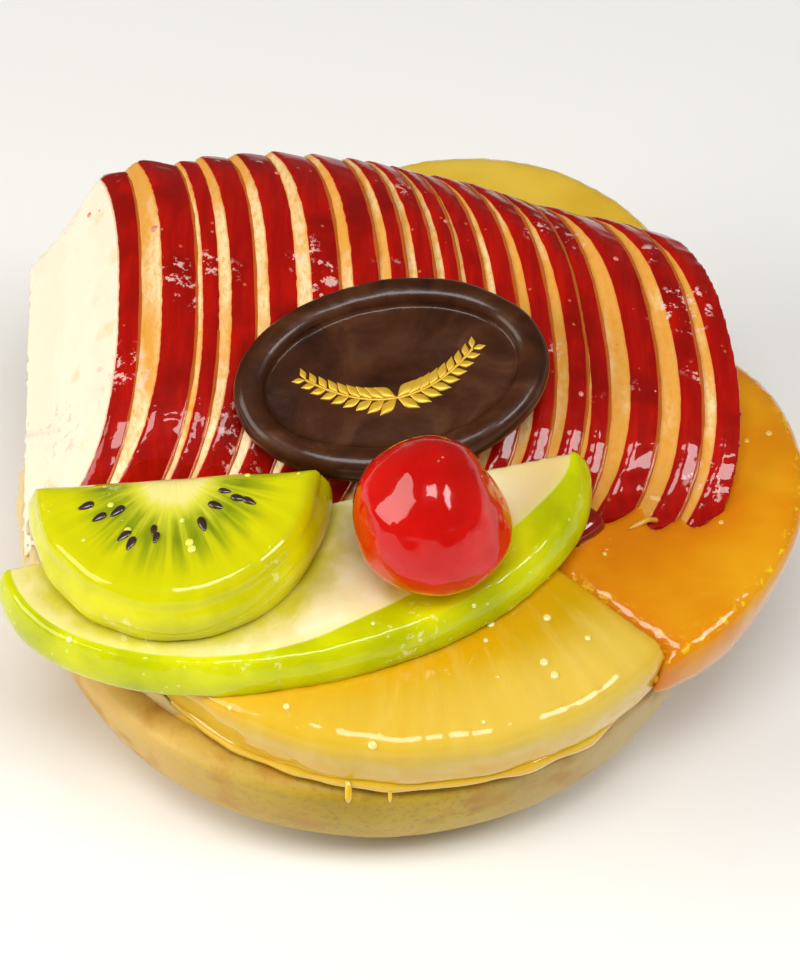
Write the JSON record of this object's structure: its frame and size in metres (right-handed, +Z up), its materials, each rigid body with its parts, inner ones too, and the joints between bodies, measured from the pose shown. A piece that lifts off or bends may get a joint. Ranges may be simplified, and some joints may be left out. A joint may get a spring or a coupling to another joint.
{
  "type": "fruit tart",
  "caption": "Round baked tart shell heaped with fanned red apple, peach, pineapple, green apple and kiwi slices, a glace cherry and an oval chocolate plaque, all glazed.",
  "frame": {"origin": "middle of the shell's flat underside", "axes": "+Z up, -Y towards the front, where the kiwi, the cherry and the pineapple are, +X towards the right-hand peach slice"},
  "size_m": [0.1096, 0.1095, 0.0619],
  "materials": {
    "pastry": "baked shortcrust, matte with a little butter shine",
    "cream": "soft custard cream under clear gel",
    "red_apple": "red skin and cream flesh under clear gel glaze",
    "green_apple": "green skin and pale flesh under clear gel glaze",
    "peach": "deep orange-yellow tinned peach under clear gel glaze",
    "pale_peach": "paler yellow tinned peach under clear gel glaze",
    "pineapple": "fibrous tinned pineapple under clear gel glaze",
    "kiwi": "peeled kiwi with pale core and dark seeds, glazed",
    "cherry": "translucent candied cherry, glazed",
    "chocolate": "tempered chocolate with a satin shine"
  },
  "bodies": {
    "root": {"tart_shell": "pastry", "cream": "cream", "pineapple_segment": "pineapple", "peach_slice_right": "peach", "peach_slice_back": "pale_peach", "green_apple_slice": "green_apple", "kiwi_half_slice": "kiwi", "glace_cherry": "cherry", "chocolate_plaque": "chocolate", "red_apple_slice_01": "red_apple", "red_apple_slice_02": "red_apple", "red_apple_slice_03": "red_apple", "red_apple_slice_04": "red_apple", "red_apple_slice_05": "red_apple", "red_apple_slice_06": "red_apple", "red_apple_slice_07": "red_apple", "red_apple_slice_08": "red_apple", "red_apple_slice_09": "red_apple", "red_apple_slice_10": "red_apple", "red_apple_slice_11": "red_apple", "red_apple_slice_12": "red_apple", "red_apple_slice_13": "red_apple", "red_apple_slice_14": "red_apple", "red_apple_slice_15": "red_apple", "red_apple_slice_16": "red_apple", "red_apple_slice_17": "red_apple", "red_apple_slice_18": "red_apple"}
  },
  "joints": []
}
